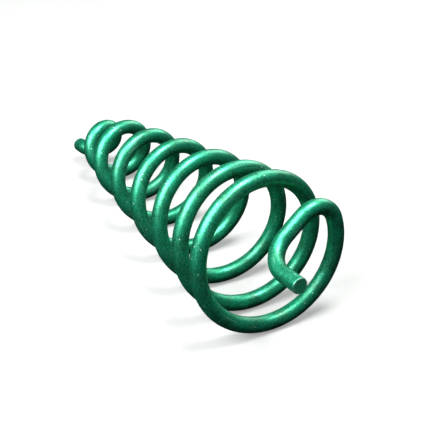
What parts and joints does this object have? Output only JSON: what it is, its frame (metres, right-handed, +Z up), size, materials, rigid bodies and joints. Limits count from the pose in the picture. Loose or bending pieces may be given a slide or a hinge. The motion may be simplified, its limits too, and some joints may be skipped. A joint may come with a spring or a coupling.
{
  "type": "coil spring",
  "caption": "Conical coil spring of round green coated wire, with a hooked-in tang at the wide end and a short tang at the rim of the narrow end.",
  "frame": {"origin": "on the floor under the middle of the bounding box, with the spring lying on its side", "axes": "+X towards the wide end, +Z up; the spring's own axis leans up by 7.4 degrees towards +X"},
  "size_m": [0.3322, 0.1204, 0.1163],
  "materials": {
    "coated_wire": "gloss green powder coat over spring steel"
  },
  "bodies": {
    "wide_end": {"wide_tang": "coated_wire", "wide_bend": "coated_wire", "wide_leg": "coated_wire", "wide_loop": "coated_wire"},
    "coil_01": {"turn_1_a": "coated_wire"},
    "coil_02": {"turn_1_b": "coated_wire"},
    "coil_03": {"turn_1_c": "coated_wire"},
    "coil_04": {"turn_1_d": "coated_wire"},
    "coil_05": {"turn_2_a": "coated_wire"},
    "coil_06": {"turn_2_b": "coated_wire"},
    "coil_07": {"turn_2_c": "coated_wire"},
    "coil_08": {"turn_2_d": "coated_wire"},
    "coil_09": {"turn_3_a": "coated_wire"},
    "coil_10": {"turn_3_b": "coated_wire"},
    "coil_11": {"turn_3_c": "coated_wire"},
    "coil_12": {"turn_3_d": "coated_wire"},
    "coil_13": {"turn_4_a": "coated_wire"},
    "coil_14": {"turn_4_b": "coated_wire"},
    "coil_15": {"turn_4_c": "coated_wire"},
    "coil_16": {"turn_4_d": "coated_wire"},
    "coil_17": {"turn_5_a": "coated_wire"},
    "coil_18": {"turn_5_b": "coated_wire"},
    "coil_19": {"turn_5_c": "coated_wire"},
    "coil_20": {"turn_5_d": "coated_wire"},
    "coil_21": {"turn_6_a": "coated_wire"},
    "coil_22": {"turn_6_b": "coated_wire"},
    "coil_23": {"turn_6_c": "coated_wire"},
    "coil_24": {"turn_6_d": "coated_wire"},
    "coil_25": {"turn_7_a": "coated_wire"},
    "coil_26": {"turn_7_b": "coated_wire"},
    "coil_27": {"turn_7_c": "coated_wire"},
    "coil_28": {"turn_7_d": "coated_wire"},
    "coil_29": {"turn_8_a": "coated_wire"},
    "coil_30": {"turn_8_b": "coated_wire"},
    "narrow_end": {"rim_bend": "coated_wire", "rim_tang": "coated_wire"}
  },
  "joints": [
    {"name": "compression", "type": "slide", "parent": "wide_end", "child": "narrow_end", "axis": [0.9917, 0, 0.1289], "range_m": [0, 0.11], "stiffness_N_per_m": 52200},
    {"name": "close_30", "type": "slide", "parent": "narrow_end", "child": "coil_30", "axis": [0.9917, 0, 0.1289], "range_m": [-0.00183, 0]},
    {"name": "close_29", "type": "slide", "parent": "coil_30", "child": "coil_29", "axis": [0.9917, 0, 0.1289], "range_m": [-0.00311, 0]},
    {"name": "close_28", "type": "slide", "parent": "coil_29", "child": "coil_28", "axis": [0.9917, 0, 0.1289], "range_m": [-0.00398, 0]},
    {"name": "close_27", "type": "slide", "parent": "coil_28", "child": "coil_27", "axis": [0.9917, 0, 0.1289], "range_m": [-0.00431, 0]},
    {"name": "close_26", "type": "slide", "parent": "coil_27", "child": "coil_26", "axis": [0.9917, 0, 0.1289], "range_m": [-0.00419, 0]},
    {"name": "close_25", "type": "slide", "parent": "coil_26", "child": "coil_25", "axis": [0.9917, 0, 0.1289], "range_m": [-0.00386, 0]},
    {"name": "close_24", "type": "slide", "parent": "coil_25", "child": "coil_24", "axis": [0.9917, 0, 0.1289], "range_m": [-0.00394, 0]},
    {"name": "close_23", "type": "slide", "parent": "coil_24", "child": "coil_23", "axis": [0.9917, 0, 0.1289], "range_m": [-0.00416, 0]},
    {"name": "close_22", "type": "slide", "parent": "coil_23", "child": "coil_22", "axis": [0.9917, 0, 0.1289], "range_m": [-0.00434, 0]},
    {"name": "close_21", "type": "slide", "parent": "coil_22", "child": "coil_21", "axis": [0.9917, 0, 0.1289], "range_m": [-0.00449, 0]},
    {"name": "close_20", "type": "slide", "parent": "coil_21", "child": "coil_20", "axis": [0.9917, 0, 0.1289], "range_m": [-0.00462, 0]},
    {"name": "close_19", "type": "slide", "parent": "coil_20", "child": "coil_19", "axis": [0.9917, 0, 0.1289], "range_m": [-0.00471, 0]},
    {"name": "close_18", "type": "slide", "parent": "coil_19", "child": "coil_18", "axis": [0.9917, 0, 0.1289], "range_m": [-0.00477, 0]},
    {"name": "close_17", "type": "slide", "parent": "coil_18", "child": "coil_17", "axis": [0.9917, 0, 0.1289], "range_m": [-0.0048, 0]},
    {"name": "close_16", "type": "slide", "parent": "coil_17", "child": "coil_16", "axis": [0.9917, 0, 0.1289], "range_m": [-0.00479, 0]},
    {"name": "close_15", "type": "slide", "parent": "coil_16", "child": "coil_15", "axis": [0.9917, 0, 0.1289], "range_m": [-0.00476, 0]},
    {"name": "close_14", "type": "slide", "parent": "coil_15", "child": "coil_14", "axis": [0.9917, 0, 0.1289], "range_m": [-0.00469, 0]},
    {"name": "close_13", "type": "slide", "parent": "coil_14", "child": "coil_13", "axis": [0.9917, 0, 0.1289], "range_m": [-0.0046, 0]},
    {"name": "close_12", "type": "slide", "parent": "coil_13", "child": "coil_12", "axis": [0.9917, 0, 0.1289], "range_m": [-0.00447, 0]},
    {"name": "close_11", "type": "slide", "parent": "coil_12", "child": "coil_11", "axis": [0.9917, 0, 0.1289], "range_m": [-0.00431, 0]},
    {"name": "close_10", "type": "slide", "parent": "coil_11", "child": "coil_10", "axis": [0.9917, 0, 0.1289], "range_m": [-0.00412, 0]},
    {"name": "close_09", "type": "slide", "parent": "coil_10", "child": "coil_09", "axis": [0.9917, 0, 0.1289], "range_m": [-0.0039, 0]},
    {"name": "close_08", "type": "slide", "parent": "coil_09", "child": "coil_08", "axis": [0.9917, 0, 0.1289], "range_m": [-0.00365, 0]},
    {"name": "close_07", "type": "slide", "parent": "coil_08", "child": "coil_07", "axis": [0.9917, 0, 0.1289], "range_m": [-0.00337, 0]},
    {"name": "close_06", "type": "slide", "parent": "coil_07", "child": "coil_06", "axis": [0.9917, 0, 0.1289], "range_m": [-0.00306, 0]},
    {"name": "close_05", "type": "slide", "parent": "coil_06", "child": "coil_05", "axis": [0.9917, 0, 0.1289], "range_m": [-0.00272, 0]},
    {"name": "close_04", "type": "slide", "parent": "coil_05", "child": "coil_04", "axis": [0.9917, 0, 0.1289], "range_m": [-0.00235, 0]},
    {"name": "close_03", "type": "slide", "parent": "coil_04", "child": "coil_03", "axis": [0.9917, 0, 0.1289], "range_m": [-0.00195, 0]},
    {"name": "close_02", "type": "slide", "parent": "coil_03", "child": "coil_02", "axis": [0.9917, 0, 0.1289], "range_m": [-0.00151, 0]},
    {"name": "close_01", "type": "slide", "parent": "coil_02", "child": "coil_01", "axis": [0.9917, 0, 0.1289], "range_m": [-0.000849, 0]}
  ],
  "couplings": [
    {"joint": "close_30", "follows": "compression", "ratio": -0.01635},
    {"joint": "close_29", "follows": "compression", "ratio": -0.02773},
    {"joint": "close_28", "follows": "compression", "ratio": -0.03545},
    {"joint": "close_27", "follows": "compression", "ratio": -0.03842},
    {"joint": "close_26", "follows": "compression", "ratio": -0.03736},
    {"joint": "close_25", "follows": "compression", "ratio": -0.03441},
    {"joint": "close_24", "follows": "compression", "ratio": -0.03514},
    {"joint": "close_23", "follows": "compression", "ratio": -0.03705},
    {"joint": "close_22", "follows": "compression", "ratio": -0.03869},
    {"joint": "close_21", "follows": "compression", "ratio": -0.04006},
    {"joint": "close_20", "follows": "compression", "ratio": -0.04115},
    {"joint": "close_19", "follows": "compression", "ratio": -0.04197},
    {"joint": "close_18", "follows": "compression", "ratio": -0.0425},
    {"joint": "close_17", "follows": "compression", "ratio": -0.04275},
    {"joint": "close_16", "follows": "compression", "ratio": -0.04273},
    {"joint": "close_15", "follows": "compression", "ratio": -0.04242},
    {"joint": "close_14", "follows": "compression", "ratio": -0.04184},
    {"joint": "close_13", "follows": "compression", "ratio": -0.04097},
    {"joint": "close_12", "follows": "compression", "ratio": -0.03983},
    {"joint": "close_11", "follows": "compression", "ratio": -0.03842},
    {"joint": "close_10", "follows": "compression", "ratio": -0.03672},
    {"joint": "close_09", "follows": "compression", "ratio": -0.03476},
    {"joint": "close_08", "follows": "compression", "ratio": -0.03252},
    {"joint": "close_07", "follows": "compression", "ratio": -0.03002},
    {"joint": "close_06", "follows": "compression", "ratio": -0.02724},
    {"joint": "close_05", "follows": "compression", "ratio": -0.02421},
    {"joint": "close_04", "follows": "compression", "ratio": -0.02091},
    {"joint": "close_03", "follows": "compression", "ratio": -0.01734},
    {"joint": "close_02", "follows": "compression", "ratio": -0.01347},
    {"joint": "close_01", "follows": "compression", "ratio": -0.00757}
  ]
}
